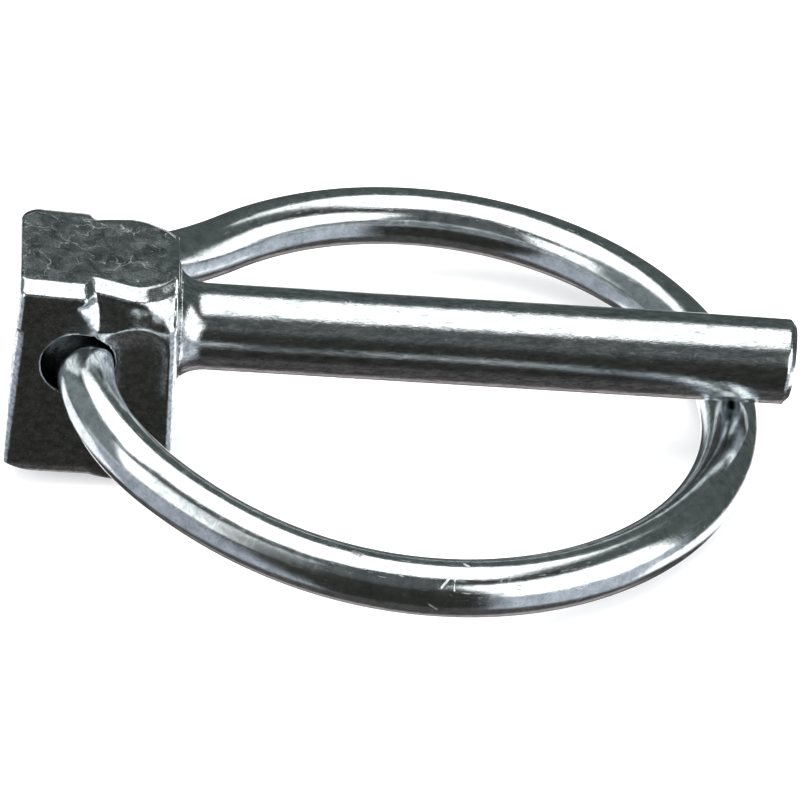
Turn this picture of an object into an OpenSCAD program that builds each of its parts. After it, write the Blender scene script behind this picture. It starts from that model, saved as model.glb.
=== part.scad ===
// Linch pin: a forged pin with a spring wire ring that swings on its head.
//
// The pin is drawn along +X in its own upright position, with the middle of
// its shoulder at the origin, and is then tipped about that point until it
// lies on its heel and on the far side of its ring.

/* [Shank] */
// Diameter of the shank
shank_d = 6; // [4:0.5:8]
// Length of the shank from the shoulder to the middle of its tip
shank_len = 42.5; // [41:0.5:48]
// Diameter at the tip, after the taper
tip_d = 5.9; // [5.8:0.02:5.98]
// Length of the taper at the tip
taper_len = 7; // [6.5:0.5:12]
// Chamfer round the tip
tip_chamfer = 0.45; // [0.2:0.05:0.8]
// Slant of the cropped tip, in degrees off square
tip_slant = 4; // [0:0.5:6]
// Radius of the fillet where the shank meets the shoulder
neck_fillet = 1.3; // [0.8:0.1:1.5]

/* [Head] */
// Length of the head behind the shoulder, at the height of the shank
head_len = 11.4; // [10.5:0.1:13]
// Width of the head across its two side faces
head_w = 10.4; // [9.5:0.1:11.5]
// Height of the head's rear top edge over the middle of the shank
head_top = 6.1; // [5.6:0.1:7]
// How far the head's top falls from its rear edge to the shoulder
top_fall = 0.5; // [0:0.1:0.8]
// Depth of the heel under the middle of the shank
head_bottom = 10.1; // [9.5:0.1:11.5]
// Draft of the rear face above the hole, and of the shoulder, in degrees
head_draft = 2.3; // [0:0.1:3]
// Rounding of the upright rear corners
rear_corner_r = 0.9; // [0.6:0.1:1.6]
// Rounding of the upright corners at the shoulder
shoulder_corner_r = 0.7; // [0.5:0.1:1.5]
// Radius of the shoulder's flat, which the turned corners leave round the shank
shoulder_flat_r = 4.9; // [4.7:0.1:5.4]
// Rounding of the turned corners above the shank
turned_corner_r = 2.7; // [2.6:0.1:3]
// Width of the flat top between the bevels along its sides
top_w = 8; // [7.4:0.1:8.8]
// Slope of those bevels, in degrees
top_bevel = 33; // [25:1:40]
// Rounding between the bevels and the side faces
top_edge_r = 0.8; // [0.5:0.1:1]
// Rounding along the bottom edges of the side faces
heel_edge_r = 1.4; // [0.4:0.1:1.6]
// Length of the bevel under the rear end
heel_bevel_len = 2.4; // [1:0.1:3]
// Height of the bevel under the rear end
heel_bevel_h = 1.2; // [0.5:0.1:1.5]

/* [Waist and scoops of the head] */
// Depth, at the top, of the crease that parts each side face in two lobes
waist_depth = 1.9; // [1:0.1:2.2]
// Distance from the shoulder back to the crease
waist_at = 5.9; // [5.6:0.1:6.6]
// Length, at the top, of the crease's rear wall
waist_rear = 1.4; // [0.8:0.1:1.8]
// Length, at the top, of the crease's front wall
waist_front = 4; // [3:0.1:4.5]
// Height over the middle of the shank at which the crease runs out
waist_end = 1.9; // [1:0.1:3]
// Width of the arched scoop in each side face
scoop_w = 5; // [4:0.1:5.2]
// Depth of the scoop
scoop_depth = 0.45; // [0.2:0.05:0.6]
// Height of the scoop's arch over the middle of the shank
scoop_top = 3.2; // [2:0.1:3.6]
// Distance from the shoulder back to the middle of the scoop
scoop_at = 3; // [2.8:0.05:3.3]

/* [Hinge hole] */
// Diameter of the hole through the head that holds the ring's ends
hole_d = 5.1; // [4.8:0.1:5.6]
// Distance from the shoulder back to the middle of the hole
hole_at = 6.8; // [6.6:0.1:7.4]
// Distance of the hole under the middle of the shank
hole_drop = 0.15; // [0:0.05:1]

/* [Ring] */
// Diameter of the ring's wire
wire_d = 4; // [3.5:0.1:4.4]
// Mean diameter of the ring's round part
ring_d = 42.4; // [40:0.2:43]
// Distance from the hinge axis to the middle of the round part
ring_reach = 23.7; // [23:0.1:25]
// Tilt of the round part against the shank, in degrees
ring_tilt = 2.2; // [1:0.1:3]
// Sideways set of the round part, towards the near side of the head
ring_set = 1.1; // [0:0.1:1.5]
// Gap between the shank's tip and the ring that lies under it
ring_gap = 0.2; // [0.1:0.05:0.5]
// Gap between the wire and the front of the hole, where the ring pulls
seat_gap = 0.06; // [0.03:0.01:0.2]
// Angle, from the ring's far end, at which its near arm leaves the circle
near_arm_from = 110; // [100:1:120]
// Angle, from the ring's far end, at which its far arm leaves the circle
far_arm_from = 130; // [120:1:132]
// How much later the near arm bends into the head than halfway, as a ratio
near_arm_ease = 1; // [0.8:0.1:2]
// How much later the far arm bends into the head than halfway, as a ratio
far_arm_ease = 4; // [3:0.1:4]
// How far inside the hole's mouth the wire starts to bend
mouth_in = 0.15; // [0.1:0.05:0.3]
// Gap between the two ends of the wire inside the head
end_gap = 1; // [0.5:0.1:2]

/* [Hidden] */
$fn = 96;

shank_r = shank_d / 2;
tip_r = tip_d / 2;
wire_r = wire_d / 2;
ring_r = ring_d / 2;
half_w = head_w / 2;
reach = 40;       // more than the head's size, for pieces that are cut to shape
join_r = 0.005;   // how far a join in the wire swells over it
join_play = 0.02; // how far inside a join each length of wire stops

// The hinge axis runs along Y through this point: the wire lies at the front
// of its hole.
hinge_x = -hole_at + hole_d / 2 - wire_r - seat_gap;
hinge_z = -hole_drop;

// The round part dips under the shank's tip at its far end.
ring_axis = [cos(ring_tilt), 0, -sin(ring_tilt)];
far_end_z = -(shank_r + wire_r + ring_gap);
ring_centre = [
    hinge_x + ring_reach,
    -ring_set,
    far_end_z + ring_r * sin(ring_tilt)
];
far_end = ring_centre + ring_r * ring_axis;

// Tipped by this angle, the heel and the ring's far end touch one level.
heel = [head_bottom * tan(head_draft), 0, -head_bottom];
heel_to_ring = far_end - heel;
rest_tilt = atan2(heel_to_ring.z, heel_to_ring.x) - asin(wire_r / norm(heel_to_ring));

// ---------------------------------------------------------------- the head

// The head's cross-section below the level 0, with a rounded bevel at both
// top corners.
module top_section() {
    fall = (half_w - top_w / 2) * tan(top_bevel);
    tangent = top_edge_r * tan(45 - top_bevel / 2);
    level = -fall - tangent;
    bevel_end = half_w - tangent * cos(top_bevel);
    translate([-half_w, -reach]) square([head_w, reach + level]);
    polygon([
        [top_w / 2, 0],
        [bevel_end, -fall + tangent * sin(top_bevel)],
        [half_w - top_edge_r, level],
        [half_w - top_edge_r, -reach],
        [-half_w + top_edge_r, -reach],
        [-half_w + top_edge_r, level],
        [-bevel_end, -fall + tangent * sin(top_bevel)],
        [-top_w / 2, 0]
    ]);
    for (side = [-1, 1]) translate([side * (half_w - top_edge_r), level]) circle(top_edge_r);
}

// The head's cross-section above the level 0, with rounded bottom corners.
module heel_section() {
    r = heel_edge_r;
    translate([-half_w, r]) square([head_w, reach]);
    translate([-half_w + r, 0]) square([head_w - 2 * r, reach]);
    for (side = [-1, 1]) translate([side * (half_w - r), r]) circle(r);
}

// A cross-section in Y and Z, drawn out along X in both directions.
module along_x() {
    rotate([90, 0, 90]) linear_extrude(2 * reach, center = true) children();
}

// An outline in X and Z, drawn out along Y in both directions.
module along_y() {
    rotate([90, 0, 0]) linear_extrude(2 * reach, center = true) children();
}

// Side view of all that lies before the upright rear face and over the bevel
// under it.
module rear_outline() {
    k = 3;
    under = -head_bottom - (k - 1) * heel_bevel_h;
    polygon([
        [-head_len, reach],
        [reach, reach],
        [reach, under],
        [-head_len + k * heel_bevel_len, under],
        [-head_len, -head_bottom + heel_bevel_h]
    ]);
}

// A block seen from above, with its two corners at X = 0 rounded.
module end_plan(r) {
    translate([r, -half_w]) square([reach, head_w]);
    translate([0, -half_w + r]) square([reach, head_w - 2 * r]);
    for (side = [-1, 1]) translate([r, side * (half_w - r)]) circle(r);
}

// Everything before the leaning rear face, whose corners are rounded.
module before_rear_face() {
    translate([-head_len, 0, -hole_drop]) rotate([0, head_draft, 0])
        linear_extrude(2 * reach, center = true) end_plan(rear_corner_r);
}

// Everything behind the shoulder, with the same draft.
module behind_shoulder() {
    rotate([0, -head_draft, 0]) mirror([1, 0, 0])
        linear_extrude(2 * reach, center = true) end_plan(shoulder_corner_r);
}

// The shoulder's upper corners are turned: round about the shank's axis.
module within_turned_corners() {
    r = turned_corner_r;
    translate([-reach, -reach, -2 * reach]) cube([2 * reach, 2 * reach, 2 * reach]);
    rotate([0, -90, 0]) rotate_extrude() {
        translate([0, -reach]) square([shoulder_flat_r, 2 * reach]);
        translate([0, r]) square([shoulder_flat_r + r, reach]);
        translate([shoulder_flat_r, r]) circle(r);
    }
}

// The head's top falls a little over its length.
module under_top() {
    fall = atan2(top_fall, head_len);
    translate([-head_len, 0, head_top]) rotate([0, fall, 0])
        along_x() top_section();
}

module over_heel() {
    translate([0, 0, -head_bottom]) along_x() heel_section();
}

module block() {
    intersection() {
        along_y() rear_outline();
        before_rear_face();
        behind_shoulder();
        within_turned_corners();
        under_top();
        over_heel();
    }
}

// The crease in one side face. It is deepest at the top and runs out at its
// lower end.
module crease() {
    lean = atan2(waist_depth, head_top - waist_end);
    k = 4;
    translate([-waist_at, half_w, waist_end]) rotate([lean, 0, 0])
        linear_extrude(reach) polygon([
            [0, 0], [k * waist_front, k * waist_depth], [-k * waist_rear, k * waist_depth]
        ]);
}

// An upright groove with a round end, shallow enough to leave an arched edge.
module scoop() {
    half = scoop_w / 2;
    r = (half * half + scoop_depth * scoop_depth) / (2 * scoop_depth);
    translate([-scoop_at, half_w - scoop_depth + r, scoop_top - half]) {
        sphere(r);
        translate([0, 0, -reach]) cylinder(h = reach, r = r);
    }
}

module hinge_hole() {
    translate([-hole_at, 0, -hole_drop])
        rotate([90, 0, 0]) cylinder(h = 2 * head_w, d = hole_d, center = true);
}

// --------------------------------------------------------------- the shank

// The shank: a cylinder that tapers at its end, cropped at a slant and
// chamfered.
module shank() {
    intersection() {
        rotate([0, 90, 0]) rotate_extrude() polygon([
            [0, -waist_at / 2],
            [shank_r, -waist_at / 2],
            [shank_r, shank_len - taper_len],
            [tip_r, shank_len],
            [tip_r, shank_len + waist_at],
            [0, shank_len + waist_at]
        ]);
        translate([shank_len, 0, 0]) rotate([0, tip_slant - 90, 0])
            cylinder(h = 2 * reach, r1 = tip_r - tip_chamfer, r2 = tip_r - tip_chamfer + 2 * reach);
    }
}

// The flare from the shank to the shoulder, buried a little in the head.
module neck() {
    root = shoulder_corner_r / 2;
    rotate([0, 90, 0]) rotate_extrude() difference() {
        translate([0, -root]) square([shank_r + neck_fillet, root + neck_fillet]);
        translate([shank_r + neck_fillet, neck_fillet]) circle(neck_fillet);
    }
}

module pin() {
    color([0.56, 0.58, 0.58]) resting() {
        difference() {
            union() {
                block();
                neck();
            }
            hinge_hole();
            for (side = [0, 1]) mirror([0, side, 0]) {
                crease();
                scoop();
            }
        }
        shank();
    }
}

// ---------------------------------------------------------------- the ring

function unit(v) = v / norm(v);

// Two arcs join the point p, left along t, to the point q, reached along u.
// They meet here; with a larger ease the first arc is the longer one.
function arcs_meet(p, t, q, u, ease) =
    let (v = q - p, c = 2 * ease * (1 - t * u), b = v * (ease * t + u))
    let (d = (sqrt(b * b + c * (v * v)) - b) / c)
    (p + ease * d * t + ease * (q - d * u)) / (1 + ease);

// The normal, towards its inside, of the arc that leaves p along t and ends at q.
function arc_normal(p, t, q) = unit((q - p) - ((q - p) * t) * t);

// A frame at the point c, with the axes x and y.
module frame(c, x, y) {
    z = cross(x, y);
    multmatrix([
        [x.x, y.x, z.x, c.x],
        [x.y, y.y, z.y, c.y],
        [x.z, y.z, z.z, c.z]
    ]) children();
}

module wire_section() {
    circle(wire_r, $fn = 48);
}

// An arc of wire about Z, from 0 to the angle turn, that stops a little short
// at both ends.
module wire_bend(r, turn) {
    short = join_play / r * 180 / PI;
    rotate([0, 0, short]) rotate_extrude(angle = turn - 2 * short) translate([r, 0]) wire_section();
}

// The wire along the arc that leaves the point p along t and ends at q.
module wire_arc(p, t, q) {
    v = q - p;
    n = arc_normal(p, t, q);
    r = (v * v) / (2 * (v * n));
    frame(p + r * n, -n, t) wire_bend(r, 2 * atan2(v * n, v * t));
}

// Where two lengths of wire meet end to end, at p, a ball holds both ends.
module wire_join(p) {
    translate(p) sphere(wire_r + join_r, $fn = 48);
}

// One arm, from the circle into the head: side is -1 on the near side and 1
// on the far side.
module arm(side, from, ease) {
    leave = ring_centre + ring_r * (cos(from) * ring_axis + side * sin(from) * [0, 1, 0]);
    along = -sin(from) * ring_axis + side * cos(from) * [0, 1, 0];
    mouth = [hinge_x, side * (half_w - mouth_in), hinge_z];
    into = [0, -side, 0];
    middle = arcs_meet(leave, along, mouth, into, ease);
    leg_end = -ring_set + side * end_gap / 2;
    wire_arc(leave, along, middle);
    wire_arc(mouth, -into, middle);
    translate(mouth) rotate([side * 90, 0, 0])
        translate([0, 0, join_play])
            cylinder(h = side * (mouth.y - leg_end) - join_play, r = wire_r, $fn = 48);
    wire_join(leave);
    wire_join(middle);
    wire_join(mouth);
}

module snap_ring() {
    color([0.50, 0.54, 0.56]) resting() {
        translate(ring_centre) rotate([0, ring_tilt, 0]) rotate([0, 0, -near_arm_from])
            wire_bend(ring_r, near_arm_from + far_arm_from);
        arm(-1, near_arm_from, near_arm_ease);
        arm(1, far_arm_from, far_arm_ease);
    }
}

// Tips the pin from its upright position to where it lies at rest.
module resting() {
    rotate([0, rest_tilt, 0]) children();
}

pin();
snap_ring();
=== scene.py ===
from math import asin, atan2, cos, degrees, pi, radians, sin, sqrt, tan

import bmesh
import bpy
import numpy as np
from mathutils import Matrix, Vector


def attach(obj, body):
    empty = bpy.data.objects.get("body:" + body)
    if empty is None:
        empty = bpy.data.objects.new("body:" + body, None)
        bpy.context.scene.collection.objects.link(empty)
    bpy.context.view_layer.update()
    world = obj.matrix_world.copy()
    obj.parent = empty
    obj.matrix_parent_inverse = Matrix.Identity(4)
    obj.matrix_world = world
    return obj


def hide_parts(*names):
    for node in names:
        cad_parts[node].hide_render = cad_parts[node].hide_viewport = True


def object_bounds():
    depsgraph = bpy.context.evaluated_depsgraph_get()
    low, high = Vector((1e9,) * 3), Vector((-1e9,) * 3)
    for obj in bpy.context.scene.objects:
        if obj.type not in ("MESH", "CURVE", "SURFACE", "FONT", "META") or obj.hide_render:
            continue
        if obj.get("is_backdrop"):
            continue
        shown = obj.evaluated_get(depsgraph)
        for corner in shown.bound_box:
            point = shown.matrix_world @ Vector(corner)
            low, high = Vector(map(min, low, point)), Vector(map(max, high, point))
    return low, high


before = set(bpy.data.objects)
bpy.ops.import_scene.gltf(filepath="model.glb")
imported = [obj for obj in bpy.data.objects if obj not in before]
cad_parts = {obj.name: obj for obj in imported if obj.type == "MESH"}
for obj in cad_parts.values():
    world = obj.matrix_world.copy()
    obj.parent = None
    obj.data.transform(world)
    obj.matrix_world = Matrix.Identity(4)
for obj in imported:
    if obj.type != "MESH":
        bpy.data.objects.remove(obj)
SIZE = {"cad": [list(v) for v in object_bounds()]}
scene = bpy.context.scene
scene.view_settings.view_transform = "Standard"
MM = 0.001

# ------------------------------------------------------------ the part's sizes
# The part's own sizes, in millimetres and degrees, as in its source. HALF_W is
# half the head's width.
SHANK_R, TIP_R, SHANK_LEN, TAPER_LEN = 3.0, 2.95, 42.5, 7.0
WIRE_R, RING_R = 2.0, 21.2
HEAD_LEN, HEAD_TOP, TOP_FALL = 11.4, 6.1, 0.5
HEAD_BOTTOM, DRAFT = 10.1, 2.3
SCOOP_R, SCOOP_DEPTH, SCOOP_TOP, SCOOP_AT = 2.5, 0.45, 3.2, 3.0
HOLE_AT, HOLE_D, HOLE_DROP = 6.8, 5.1, 0.15
RING_REACH, RING_TILT, RING_SET, RING_GAP = 23.7, 2.2, 1.1, 0.2
SEAT_GAP, MOUTH_IN, END_GAP, HALF_W = 0.06, 0.15, 1.0, 5.2
NEAR_FROM, FAR_FROM, NEAR_EASE, FAR_EASE = 110.0, 130.0, 1.0, 4.0

HINGE = np.array([-HOLE_AT + HOLE_D / 2 - WIRE_R - SEAT_GAP, 0.0, -HOLE_DROP])
_t = radians(RING_TILT)
RING_X = np.array([cos(_t), 0.0, -sin(_t)])
CENTRE = np.array([HINGE[0] + RING_REACH, -RING_SET,
                   -(SHANK_R + WIRE_R + RING_GAP) + RING_R * sin(_t)])
FAR_END = CENTRE + RING_R * RING_X
HEEL = np.array([HEAD_BOTTOM * tan(radians(DRAFT)), 0.0, -HEAD_BOTTOM])
_v = FAR_END - HEEL
REST = atan2(_v[2], _v[0]) - asin(WIRE_R / np.linalg.norm(_v))


def turned(p, angle):
    """Points turned about Y, from Z towards X."""
    p = np.asarray(p, float)
    c, n = cos(angle), sin(angle)
    return np.stack([c * p[..., 0] + n * p[..., 2], p[..., 1],
                     -n * p[..., 0] + c * p[..., 2]], -1)


def to_row(p):
    """From the pin's own upright frame to the row's frame, where it lies."""
    return turned(p, REST)


def to_pin(p):
    """From the row's frame to the pin's own upright frame."""
    return turned(p, -REST)


def as_object(name, bm):
    """A new object with the mesh of bm, which is freed."""
    bmesh.ops.recalc_face_normals(bm, faces=bm.faces)
    me = bpy.data.meshes.new(name)
    bm.to_mesh(me)
    bm.free()
    o = bpy.data.objects.new(name, me)
    scene.collection.objects.link(o)
    return o


def points(me):
    """A mesh's vertices as an array of rows."""
    co = np.zeros(len(me.vertices) * 3)
    me.vertices.foreach_get("co", co)
    return co.reshape(-1, 3)


# ------------------------------------------------------------------- the ring

PATH_STEP, WIRE_SIDES = 0.25, 56
END_EASE = 0.25  # the wire's ends are this much thinner at their last ring


def unit(v):
    return v / np.linalg.norm(v)


def arcs_meet(p, t, q, u, ease):
    """Where two tangent arcs meet: one leaves p along t, the other enters q
    along u. A larger ease makes the first one longer."""
    v = q - p
    c = 2 * ease * (1 - t @ u)
    b = v @ (ease * t + u)
    d = (sqrt(b * b + c * (v @ v)) - b) / c
    return (p + ease * d * t + ease * (q - d * u)) / (1 + ease)


def arc_points(p, t, q, step):
    """Points along the arc that leaves p along t and ends at q."""
    v = q - p
    n = unit(v - (v @ t) * t)
    r = (v @ v) / (2 * (v @ n))
    turn = 2 * atan2(v @ n, v @ t)
    k = max(int(abs(r * turn) / step), 2)
    a = np.linspace(0, turn, k + 1)[:, None]
    return p + r * n + r * (-np.cos(a) * n + np.sin(a) * t)


def wire_path(step):
    """The middle of the wire, from its near end round to its far end."""
    side_y = np.array([0.0, 1.0, 0.0])
    arms = []
    for side, start, ease in ((-1, NEAR_FROM, NEAR_EASE), (1, FAR_FROM, FAR_EASE)):
        a = radians(start)
        leave = CENTRE + RING_R * (cos(a) * RING_X + side * sin(a) * side_y)
        along = -sin(a) * RING_X + side * cos(a) * side_y
        mouth = np.array([HINGE[0], side * (HALF_W - MOUTH_IN), HINGE[2]])
        into = np.array([0.0, -side, 0.0])
        meet = arcs_meet(leave, along, mouth, into, ease)
        out = arc_points(leave, along, meet, step)
        inn = arc_points(mouth, -into, meet, step)[::-1]
        end = np.array([HINGE[0], -RING_SET + side * END_GAP / 2, HINGE[2]])
        leg = np.linspace(mouth, end, 14)
        arms.append(np.vstack([out[:-1], inn[:-1], leg]))
    a = np.radians(np.arange(-NEAR_FROM, FAR_FROM, degrees(step / RING_R)))[1:, None]
    round_part = CENTRE + RING_R * (np.cos(a) * RING_X + np.sin(a) * side_y)
    return np.vstack([arms[0][::-1], round_part, arms[1]])


def make_ring():
    """A round tube along the wire's path, its map running along the wire."""
    path = wire_path(PATH_STEP)
    n, around = len(path), WIRE_SIDES
    tang = np.gradient(path, axis=0)
    tang /= np.linalg.norm(tang, axis=1)[:, None]
    along = np.cumsum(np.linalg.norm(np.diff(path, axis=0), axis=1))
    along = np.concatenate([[0], along]) / along[-1]
    th = np.linspace(0, 2 * pi, around, endpoint=False)[:, None]
    normal = np.array([0.0, 0.0, 1.0])
    rows = []
    for i in range(n):
        normal = unit(normal - (normal @ tang[i]) * tang[i])
        side = np.cross(tang[i], normal)
        r = WIRE_R - (END_EASE if i in (0, n - 1) else 0)
        rows.append(path[i] + r * (np.cos(th) * normal + np.sin(th) * side))
    bm = bmesh.new()
    vs = [bm.verts.new(p) for p in to_row(np.vstack(rows)) * MM]
    uv = bm.loops.layers.uv.new("wire")
    for i in range(n - 1):
        for j in range(around):
            k = (j + 1) % around
            corners = ((i, j, j), (i, k, j + 1), (i + 1, k, j + 1), (i + 1, j, j))
            f = bm.faces.new([vs[row * around + at] for row, at, _ in corners])
            f.smooth = True
            for loop, (row, _, turn) in zip(f.loops, corners):
                loop[uv].uv = (along[row], turn / around)
    bm.faces.new(vs[:around][::-1])
    bm.faces.new(vs[-around:])
    return as_object("ring_wire", bm)


# -------------------------------------------------------------------- the pin

# The head is remade above this level, just over its hole, and the cut lies a
# little higher, so that both halves overlap.
CUT_Z, CUT_LAP = 2.44, 0.06
# Half widths where the bevel of the top's long edges starts and ends, then the
# heights of the bevel and of the round under it.
BEVEL_IN, BEVEL_OUT, BEVEL_H, ROUND_H = 4.08, 4.87, 0.5, 0.68
# The crease: its place in x, its shift towards the rear at the top, the level
# of its foot, the height over which it deepens, and its front wall's length.
CREASE_X, CREASE_SHIFT, CREASE_FOOT, CREASE_H, CREASE_FRONT = -5.62, 0.5, 2.75, 1.95, 3.6
# The front corner: how far it is pulled in, the level of its foot, its height.
CORNER_PULL, CORNER_FOOT, CORNER_H = 1.75, 2.7, 2.5
# The scoop's floor is part of a large ball.
SCOOP_BALL = (SCOOP_R ** 2 + SCOOP_DEPTH ** 2) / (2 * SCOOP_DEPTH)


def smooth(v, a, b):
    """From 0 at a to 1 at b, level at both."""
    t = np.clip((v - a) / (b - a), 0, 1)
    return t * t * (3 - 2 * t)


def top_level(x):
    return HEAD_TOP - TOP_FALL * (x + HEAD_LEN) / HEAD_LEN


def head_ends(z):
    """The head's front and rear faces in x, which lean by the draft."""
    lean = tan(radians(DRAFT))
    return -z * lean, -HEAD_LEN + (z + HOLE_DROP) * lean


def scoop_drop(far2):
    """Height of the scoop's ball over its middle, at a squared distance."""
    return SCOOP_BALL - np.sqrt(np.clip(SCOOP_BALL ** 2 - far2, 0, None))


def half_width(x, z, side):
    """Half width of the upper head, whose soft corners the solid simplifies."""
    x_front, x_rear = head_ends(z)
    # the top's long edges: a bevel, then a round down to the side face
    under = np.clip(top_level(x) - z, 0, None)
    bevel = BEVEL_IN + (BEVEL_OUT - BEVEL_IN) * np.clip(under / BEVEL_H, 0, 1)
    k = np.clip((under - BEVEL_H) / ROUND_H, 0, 1)
    below = BEVEL_OUT + (HALF_W - BEVEL_OUT) * np.sqrt(np.clip(1 - (1 - k) ** 2, 0, 1))
    y = np.where(under < BEVEL_H, bevel, below)
    # the crease: a short steep rear wall, and a long front one
    at = CREASE_X - CREASE_SHIFT * smooth(z, 3.9, 5.85)
    rise = np.clip(z - CREASE_FOOT, 0, CREASE_H)
    depth = (1.0 if side < 0 else 0.63) * rise * (0.7 - 0.095 * rise)
    steep = 0.74 + 1.1 * smooth(z, 4.6, 5.2)
    y = y - np.where(x < at, np.clip(depth - steep * (at - x), 0, None),
                     depth * (1 - np.clip((x - at) / CREASE_FRONT, 0, 1)))
    # the front corner, pulled in more the higher it is
    lift = np.clip((z - CORNER_FOOT) / CORNER_H, 0, 1)
    lift = np.where(lift < 0.3, lift ** 2 / 0.6, lift - 0.15)
    y = y - CORNER_PULL * smooth(x - x_front, -3.5, 0.5) * lift
    # the scoop's arch
    over = np.clip(z - (SCOOP_TOP - SCOOP_R), 0, None)
    floor_y = HALF_W - SCOOP_DEPTH + scoop_drop((x + SCOOP_AT) ** 2 + over ** 2)
    y = np.minimum(y, floor_y)
    # upright corners; the far rear one is the rounder
    front_r = 0.7 + 0.6 * smooth(z, 2.8, 5.2)
    rear_r = 0.55 if side < 0 else 0.9 + 0.6 * smooth(z, 3.5, 5.8)
    for away, radius in ((x_front - x, front_r), (x - x_rear, rear_r)):
        inside = np.clip(radius - away, 0, radius)
        y = y - (radius - np.sqrt(np.clip(radius ** 2 - inside ** 2, 0, None)))
    return np.maximum(y, 1.0)


def upper_head():
    """The upper part of the head as a closed mesh, in the pin's frame, in mm."""
    # columns and rows lie closer at the upright corners and at the top edges
    ends = np.array([0, 0.01, 0.03, 0.07, 0.13, 0.2, 0.28, 0.37, 0.47, 0.58, 0.7])
    middle = np.arange(0.8, HEAD_LEN - 0.75, 0.09)
    u = np.concatenate([ends, middle, (HEAD_LEN - ends)[::-1]]) / HEAD_LEN
    v = np.concatenate([np.arange(0, 0.8, 0.024), np.arange(0.8, 0.9999, 0.012), [1.0]])
    ni, nj = len(u), len(v)
    bm = bmesh.new()
    grid = {}
    for side in (-1, 1):
        for j, vj in enumerate(v):
            z = CUT_Z + vj * (top_level(-HEAD_LEN + u * HEAD_LEN) - CUT_Z)
            x_front, x_rear = head_ends(z)
            x = x_rear + u * (x_front - x_rear)
            y = side * half_width(x, z, side)
            for i in range(ni):
                grid[side, i, j] = bm.verts.new((x[i], y[i], z[i]))
    for i in range(ni - 1):
        for j in range(nj - 1):
            for side in (-1, 1):
                q = [grid[side, i + a, j + b] for a, b in ((0, 0), (1, 0), (1, 1), (0, 1))]
                bm.faces.new(q if side < 0 else q[::-1])
        for j in (0, nj - 1):
            q = [grid[k, i + a, j] for k, a in ((-1, 0), (1, 0), (1, 1), (-1, 1))]
            bm.faces.new(q if j == 0 else q[::-1])
    for j in range(nj - 1):
        for i in (0, ni - 1):
            q = [grid[k, i, j + b] for k, b in ((-1, 0), (-1, 1), (1, 1), (1, 0))]
            bm.faces.new(q if i == 0 else q[::-1])
    return as_object("upper_head", bm)


def evaluated(o):
    """Apply the object's modifiers and give its new mesh."""
    dg = bpy.context.evaluated_depsgraph_get()
    done = bpy.data.meshes.new_from_object(o.evaluated_get(dg))
    o.modifiers.clear()
    o.data = done
    return done


VOXEL = 0.11
FLARE_LEN, FLARE_H = 2.1, 1.3  # the flare from the shank to the shoulder


def shank_scale(p):
    """What turns the remeshed shank and its flare exactly round again."""
    x, rad = p[:, 0], np.hypot(p[:, 1], p[:, 2])
    clear = (x > 0.12) & (x < SHANK_LEN - 0.55)
    near = (rad > 2) & (rad < np.where(x < 1, 4.35 - x * 0.6, 3.9))
    along = (x - SHANK_LEN + TAPER_LEN) / TAPER_LEN
    want = np.where(along < 0, SHANK_R, SHANK_R + (TIP_R - SHANK_R) * along)
    flare = np.clip(1 - x / FLARE_LEN, 0, 1)
    want = np.where(x < FLARE_LEN, SHANK_R + FLARE_H * (1 - np.sqrt(1 - flare ** 2)), want)
    return np.where(clear & near, want / np.maximum(rad, 1e-9), 1.0)


def scoop_fill(p):
    """What fills the scoop below the hole, so that it runs out to the heel."""
    x, y, z = p.T
    sunk = np.clip(SCOOP_DEPTH - scoop_drop((x + SCOOP_AT) ** 2), 0, None)
    low = (np.abs(y) > 3.4) & (x < 0) & (x > -5.6) & (z < 0)
    return np.where(low, np.sign(y) * sunk * (1 - smooth(z, -6.5, -1.5)), 0)


def make_pin():
    """The CAD pin as one fine mesh, with the soft edges of a forging."""
    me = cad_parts["pin"].data.copy()
    o = bpy.data.objects.new("pin_forging", me)
    scene.collection.objects.link(o)
    me.vertices.foreach_set("co", to_pin(points(me) / MM).ravel())
    bm = bmesh.new()
    bm.from_mesh(me)
    bmesh.ops.remove_doubles(bm, verts=bm.verts, dist=1e-4)
    bm.to_mesh(me)
    bm.free()
    # the head above its hole is cut off, as far as just behind the shoulder,
    # and remade with its softer forms
    bpy.ops.mesh.primitive_cube_add(size=1)
    cutter = bpy.context.object
    size = Vector((14, 14, 6))
    middle = Vector((-0.3 - size.x / 2, 0, CUT_Z + CUT_LAP + size.z / 2))
    cutter.data.transform(Matrix.LocRotScale(middle, None, size))
    head = upper_head()
    for other, kind in ((cutter, "DIFFERENCE"), (head, "UNION")):
        m = o.modifiers.new(kind, "BOOLEAN")
        m.operation, m.solver, m.object = kind, "EXACT", other
    m = o.modifiers.new("remesh", "REMESH")
    m.mode, m.voxel_size, m.use_smooth_shade = "VOXEL", VOXEL, True
    m = o.modifiers.new("soften", "SMOOTH")
    m.factor, m.iterations = 0.5, 5
    done = evaluated(o)
    for extra in (cutter, head):
        bpy.data.objects.remove(extra)
    p = points(done)
    k, fill = shank_scale(p), scoop_fill(p)
    p[:, 1] = (p[:, 1] + fill) * k
    p[:, 2] *= k
    done.vertices.foreach_set("co", (to_row(p) * MM).ravel())
    done.update()
    for poly in done.polygons:
        poly.use_smooth = True
    return o


# ------------------------------------------------------------------ materials

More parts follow.
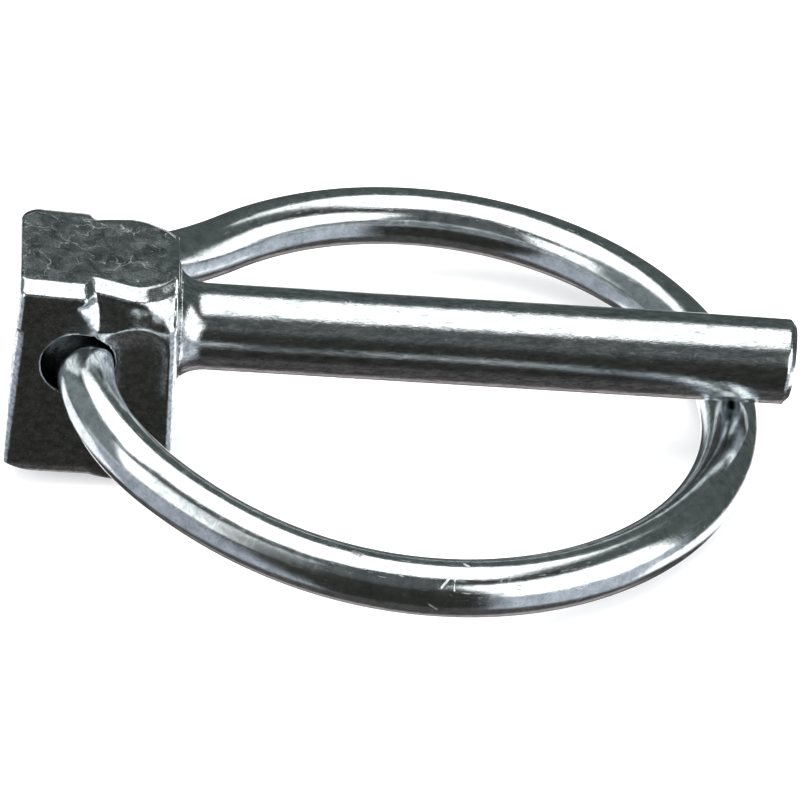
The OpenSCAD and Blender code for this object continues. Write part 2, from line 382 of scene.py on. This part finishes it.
class Nodes:
    """A few short ways to write a node tree. In add, a key such as _operation
    is the node's own setting, and i0 is its first socket."""

    def __init__(self, name, world=False):
        self.mat = (bpy.data.worlds if world else bpy.data.materials).new(name)
        self.mat.use_nodes = True
        self.tree = self.mat.node_tree
        self.tree.nodes.clear()

    def add(self, kind, **sockets):
        node = self.tree.nodes.new(kind)
        for key, value in sockets.items():
            if key.startswith("_"):
                setattr(node, key[1:], value)
                continue
            socket = node.inputs[int(key[1:]) if key[1:].isdigit() else key]
            if isinstance(value, bpy.types.NodeSocket):
                self.tree.links.new(value, socket)
            else:
                socket.default_value = value
        return node

    def math(self, op, a, b=0.0, c=0.0, clamp=False):
        n = self.add("ShaderNodeMath", _operation=op, _use_clamp=clamp, i0=a, i1=b, i2=c)
        return n.outputs[0]

    def vector(self, op, *values, out=0, **named):
        sockets = {f"i{i}": v for i, v in enumerate(values)}
        return self.add("ShaderNodeVectorMath", _operation=op, **sockets, **named).outputs[out]

    def ramp(self, fac, *stops):
        n = self.add("ShaderNodeValToRGB", Fac=fac)
        r = n.color_ramp
        while len(r.elements) < len(stops):
            r.elements.new(0.5)
        for e, (pos, value) in zip(r.elements, stops):
            e.position = pos
            e.color = (*(value if isinstance(value, tuple) else (value,) * 3), 1)
        return n.outputs["Color"]

    def range(self, value, a, b, c, d):
        n = self.add("ShaderNodeMapRange", Value=value)
        n.inputs["From Min"].default_value, n.inputs["From Max"].default_value = a, b
        n.inputs["To Min"].default_value, n.inputs["To Max"].default_value = c, d
        return n.outputs["Result"]

    def noise(self, vector, scale, detail=4.0, rough=0.6, distortion=0.0):
        n = self.add("ShaderNodeTexNoise", Vector=vector, Scale=scale, Detail=detail,
                     Roughness=rough, Distortion=distortion)
        return n.outputs["Fac"]

    def mix(self, fac, a, b):
        n = self.add("ShaderNodeMix", _data_type="RGBA")
        for i, v in ((0, fac), (6, a), (7, b)):
            if isinstance(v, bpy.types.NodeSocket):
                self.tree.links.new(v, n.inputs[i])
            elif i == 0:
                n.inputs[i].default_value = v
            else:
                n.inputs[i].default_value = (*v, 1)
        return n.outputs[2]


def row_mm(t):
    """Object coordinates in millimetres."""
    c = t.add("ShaderNodeTexCoord").outputs["Object"]
    return t.vector("SCALE", c, Scale=1 / MM)


def metal(t, colour, rough, height, distance):
    """Bare metal with fine relief, its depth given in metres."""
    bump = t.add("ShaderNodeBump", Height=height, Strength=1.0, Distance=distance)
    b = t.add("ShaderNodeBsdfPrincipled", Metallic=1.0, Roughness=rough, Normal=bump.outputs[0])
    b.inputs["Base Color"].default_value = (0.5, 0.52, 0.52, 1)
    t.tree.links.new(colour, b.inputs["Base Color"])
    t.add("ShaderNodeOutputMaterial", Surface=b.outputs[0])


def pin_material():
    """Clouded zinc on the forging, duller and veined on the head's top."""
    t = Nodes("pin_zinc")
    p = row_mm(t)
    xyz = t.add("ShaderNodeSeparateXYZ", Vector=p).outputs
    head = t.range(xyz[0], -0.8, -0.2, 1.0, 0.0)
    # the head's top inside its bevels, which is narrower in front of the crease
    upper = t.math("MULTIPLY", head, t.range(xyz[2], 4.9, 5.5, 0.0, 1.0))
    out = t.math("ADD", t.math("ABSOLUTE", xyz[1]), t.range(xyz[0], -6.0, -5.6, 0.0, 0.6))
    upper = t.math("MULTIPLY", upper, t.range(out, 3.8, 4.15, 1.0, 0.0))
    # the shank was drawn: its marks run along it
    drawn = t.vector("MULTIPLY", p, (0.35, 1.0, 1.0))
    way = t.add("ShaderNodeMix", _data_type="VECTOR", i0=head, i4=drawn, i5=p).outputs[1]
    broad = t.noise(p, 0.5, 3, 0.55)
    cloud = t.noise(p, 0.9, 6, 0.68, 0.6)
    mid = t.noise(way, 2.4, 5, 0.66)
    fine = t.noise(way, 8.0, 4, 0.75)
    # a few light crazed lines on the head's top
    warp = t.add("ShaderNodeTexNoise", Vector=p, Scale=0.8, Detail=4.0)
    wp = t.vector("MULTIPLY_ADD", warp.outputs["Color"], (2.6, 2.6, 2.6), p)
    vor = t.add("ShaderNodeTexVoronoi", Vector=wp, Scale=0.42, _feature="DISTANCE_TO_EDGE")
    vein = t.ramp(vor.outputs["Distance"], (0.0, 0.75), (0.012, 0.35), (0.03, 0.0))
    vein = t.math("MULTIPLY", vein, t.ramp(broad, (0.44, 0.0), (0.58, 0.8)))
    vein = t.math("MULTIPLY", vein, upper)
    # bright zinc under duller, darker clouds, with light and dark flecks
    tone = t.ramp(mid, (0.32, (0.30, 0.33, 0.34)), (0.5, (0.56, 0.59, 0.60)),
                  (0.66, (0.80, 0.83, 0.85)))
    stain = t.ramp(cloud, (0.38, (0.12, 0.13, 0.13)), (0.5, (0.38, 0.42, 0.41)),
                   (0.62, (0.74, 0.78, 0.80)))
    tone = t.mix(t.math("MULTIPLY", upper, 0.85), tone, stain)
    fleck = t.ramp(fine, (0.36, 1.0), (0.43, 0.0), (0.60, 0.0), (0.68, 1.0))
    side = t.ramp(fine, (0.45, (0.10, 0.10, 0.10)), (0.55, (0.98, 1.0, 1.0)))
    tone = t.mix(t.math("MULTIPLY", fleck, 0.65), tone, side)
    colour = t.mix(vein, tone, (0.92, 0.95, 0.94))
    rough = t.range(mid, 0.3, 0.7, 0.15, 0.07)
    rough = t.math("ADD", rough, t.math("MULTIPLY", fleck, 0.13))
    rough = t.math("ADD", rough, t.math("MULTIPLY", upper, 0.08))
    rough = t.math("ADD", rough, t.math("MULTIPLY", vein, 0.32))
    wavy = t.math("MULTIPLY", mid, t.range(xyz[0], -0.8, 1.5, 0.5, 0.2))
    height = t.math("ADD", t.math("MULTIPLY", fine, 0.5), wavy)
    metal(t, colour, rough, height, 0.00002)
    return t.mat


# Each scratch on the ring: from, to and width, in millimetres.
SCRATCHES = (
    ((18.2, -23.85, -4.65), (18.7, -23.3, -4.17), 0.11),
    ((19.05, -23.9, -4.85), (19.08, -23.2, -4.15), 0.07),
    ((19.72, -22.05, -4.0), (19.98, -22.3, -4.02), 0.15),
    ((17.33, -24.3, -5.73), (17.83, -24.24, -6.2), 0.10),
)


def stroke(t, p, a, b, width):
    """1 inside a short stroke from a to b, in millimetres."""
    way = Vector(b) - Vector(a)
    off = t.vector("SUBTRACT", p, a)
    dot = t.vector("DOT_PRODUCT", off, way / way.length_squared, out="Value")
    near = t.vector("SCALE", way, Scale=t.math("ADD", dot, 0.0, clamp=True))
    away = t.vector("DISTANCE", off, near, out="Value")
    return t.range(away, width * 0.5, width, 1.0, 0.0)


def ring_material():
    """Zinc on drawn wire, with a few marks of use."""
    t = Nodes("ring_zinc")
    uv = t.add("ShaderNodeUVMap", _uv_map="wire").outputs[0]
    # the wire's draw marks run along it
    streak = t.noise(t.vector("MULTIPLY", uv, (16.0, 30.0, 1.0)), 1.0, 5, 0.68)
    scratch = t.noise(t.vector("MULTIPLY", uv, (110.0, 90.0, 1.0)), 1.0, 3, 0.7)
    p = row_mm(t)
    mid = t.noise(p, 1.1, 5, 0.65)
    fine = t.noise(p, 8.0, 4, 0.75)
    tone = t.ramp(mid, (0.3, (0.42, 0.47, 0.48)), (0.5, (0.60, 0.64, 0.65)),
                  (0.7, (0.74, 0.78, 0.80)))
    fleck = t.ramp(fine, (0.34, 1.0), (0.41, 0.0), (0.61, 0.0), (0.69, 1.0))
    side = t.ramp(fine, (0.45, (0.12, 0.12, 0.12)), (0.55, (0.98, 1.0, 1.0)))
    tone = t.mix(t.math("MULTIPLY", fleck, 0.5), tone, side)
    line = t.ramp(scratch, (0.30, 1.0), (0.37, 0.0))
    colour = t.mix(t.math("MULTIPLY", line, 0.55), tone, (0.20, 0.21, 0.21))
    # a scuff, and a few fresh scratches beside it
    scuff = stroke(t, p, (12.25, -21.85, -3.1), (12.6, -22.05, -3.2), 0.34)
    scuff = t.math("MULTIPLY", scuff, t.range(fine, 0.42, 0.58, 0.2, 0.9))
    cut = None
    for a, b, width in SCRATCHES:
        k = stroke(t, p, a, b, width)
        cut = k if cut is None else t.math("MAXIMUM", cut, k)
    colour = t.mix(scuff, colour, (0.20, 0.17, 0.16))
    cut = t.math("MULTIPLY", cut, t.range(fine, 0.4, 0.6, 0.35, 0.9))
    colour = t.mix(cut, colour, (0.95, 0.97, 1.0))
    rough = t.range(streak, 0.3, 0.7, 0.07, 0.17)
    rough = t.math("ADD", rough, t.math("MULTIPLY", fleck, 0.1))
    rough = t.math("ADD", rough, t.math("MULTIPLY", t.math("MAXIMUM", cut, scuff), 0.45))
    height = t.math("ADD", streak, t.math("MULTIPLY", fine, 0.35))
    height = t.math("SUBTRACT", height, t.math("MULTIPLY", line, 0.4))
    height = t.math("SUBTRACT", height, t.math("MULTIPLY", cut, 1.5))
    metal(t, colour, rough, height, 0.00001)
    return t.mat


def plain(name, colour, rough, glow):
    """One colour, with a little light of its own to thin the shadows."""
    t = Nodes(name)
    b = t.add("ShaderNodeBsdfPrincipled", Roughness=rough)
    b.inputs["Emission Color"].default_value = (1, 1, 1, 1)
    b.inputs["Emission Strength"].default_value = glow
    b.inputs["Base Color"].default_value = (*colour, 1)
    t.add("ShaderNodeOutputMaterial", Surface=b.outputs[0])
    return t.mat


# ------------------------------------------------------------------ the pieces

ring = make_ring()
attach(ring, "ring")
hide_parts("snap_ring")
ring.data.materials.append(ring_material())

pin = make_pin()
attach(pin, "pin")
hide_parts("pin")
pin.data.materials.clear()
pin.data.materials.append(pin_material())

# ----------------------------------------------------------- floor and studio

floor_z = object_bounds()[0].z
bpy.ops.mesh.primitive_plane_add(size=8, location=(0, 0, min(floor_z, SIZE["cad"][0][2])))
floor = bpy.context.object
floor.name = "floor"
floor.data.materials.append(plain("floor_pale", (0.92, 0.92, 0.92), 0.9, 0.32))
floor.visible_glossy = False
floor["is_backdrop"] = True

# The studio as the metal sees it: patches of a dim room and of a lit table,
# each (azimuth from, to, elevation from, to, softness, colour), in degrees.
# Azimuth 0 is the camera's side and 90 is +X. What lies across 180 is given
# from both sides. Only reflections see it, and they don't see the floor.
ROOM = (
    (-181, 181, -91, 91, 1, (0.040, 0.040, 0.036)),  # the whole room
    (25, 92, -55, 3, 10, (0.60, 0.64, 0.72)),  # the table on the right
    (-97, -42, -52, 6, 10, (0.46, 0.49, 0.56)),  # the table on the left
    (84, 200, -45, -25, 6, (1.9, 1.85, 1.85)),  # the lit table behind
    (-200, -148, -46, -33, 5, (1.8, 1.8, 1.8)),
    (-152, -92, -42, -8, 8, (1.5, 1.5, 1.55)),
    (-181, 181, -91, -50, 10, (0.060, 0.055, 0.058)),  # the shade below
    (118, 200, -80, -60, 8, (0.42, 0.37, 0.37)),  # a paler strip of it behind
    (-200, -118, -80, -60, 8, (0.42, 0.37, 0.37)),
    (-128, -60, -2, 62, 12, (0.20, 0.23, 0.24)),  # the wall on the left
    (88, 200, -22, 58, 10, (0.060, 0.078, 0.078)),  # the wall behind
    (-200, -120, -22, 58, 10, (0.050, 0.064, 0.066)),
    (-45, 32, 25, 82, 12, (0.075, 0.085, 0.09)),  # over the camera
)

w = Nodes("studio", world=True)
way = w.add("ShaderNodeTexCoord").outputs["Generated"]
xyz = w.add("ShaderNodeSeparateXYZ", Vector=way).outputs
az = w.math("DEGREES", w.math("ARCTAN2", xyz[0], w.math("MULTIPLY", xyz[1], -1.0)))
el = w.math("DEGREES", w.math("ARCSINE", xyz[2]))


def step(value, edge, soft):
    """From 0 to 1 across an edge of the given softness."""
    n = w.add("ShaderNodeMapRange", Value=value, _interpolation_type="SMOOTHSTEP")
    n.inputs["From Min"].default_value = edge - soft / 2
    n.inputs["From Max"].default_value = edge + soft / 2
    return n.outputs["Result"]


seen = None
for a0, a1, e0, e1, soft, rgb in ROOM:
    k = w.math("MULTIPLY", step(az, a0, soft), w.math("SUBTRACT", 1.0, step(az, a1, soft)))
    k = w.math("MULTIPLY", k, step(el, e0, soft))
    k = w.math("MULTIPLY", k, w.math("SUBTRACT", 1.0, step(el, e1, soft)))
    c = w.vector("SCALE", rgb, Scale=k)
    seen = c if seen is None else w.vector("ADD", seen, c)
lp = w.add("ShaderNodeLightPath")
room = w.add("ShaderNodeBackground", Color=seen, Strength=1.0)
pale = w.add("ShaderNodeBackground", Color=(0.95, 0.95, 0.95, 1), Strength=1.0)
mixed = w.add("ShaderNodeMixShader", Fac=lp.outputs["Is Glossy Ray"],
              i1=pale.outputs[0], i2=room.outputs[0])
w.add("ShaderNodeOutputWorld", Surface=mixed.outputs[0])
scene.world = w.mat


def softbox(name, azimuth, elevation, distance, across, high, radiance):
    """A flat soft light that faces the part, its size given as half-angles."""
    a, e = radians(azimuth), radians(elevation)
    place = distance * Vector((sin(a) * cos(e), -cos(a) * cos(e), sin(e)))
    d = bpy.data.lights.new(name, "AREA")
    d.shape = "RECTANGLE"
    d.size, d.size_y = 2 * distance * tan(radians(across)), 2 * distance * tan(radians(high))
    d.energy = radiance * pi * d.size * d.size_y
    o = bpy.data.objects.new(name, d)
    o.location = place
    o.rotation_euler = (-place).to_track_quat("-Z", "Y").to_euler()
    o.visible_camera = False
    scene.collection.objects.link(o)
    return o


softbox("box_right", 58, 20, 0.7, 30, 24, 2.2)
softbox("box_left", -49.5, 29, 0.7, 12.5, 21, 2.0)
top = softbox("box_top", 180, 78, 0.7, 23, 26, 2.4)
# this one hangs level, a little behind the part
top.location = (0.0, 0.13, 0.6)
top.rotation_euler = (0.0, 0.0, 0.0)

# The camera stands far off with a long lens. Its picture, 800 pixels wide,
# shows 14.5 pixels to the millimetre at the target.
LENS, SENSOR = 1200.0, 36.0
SPAN = 0.800 / 14.5
EL = radians(36.8)
cam_data = bpy.data.cameras.new("camera")
cam_data.lens, cam_data.sensor_width = LENS, SENSOR
cam_data.clip_start, cam_data.clip_end = 0.1, 10.0
cam = bpy.data.objects.new("camera", cam_data)
scene.collection.objects.link(cam)
back = Vector((0, -cos(EL), sin(EL)))
target = Vector((0.01532, 0.0, -0.006494))
cam.location = target + back * (SPAN * LENS / SENSOR)
cam.rotation_euler = (-back).to_track_quat("-Z", "Y").to_euler()
scene.camera = cam

SIZE["visual"] = [list(v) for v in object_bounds()]
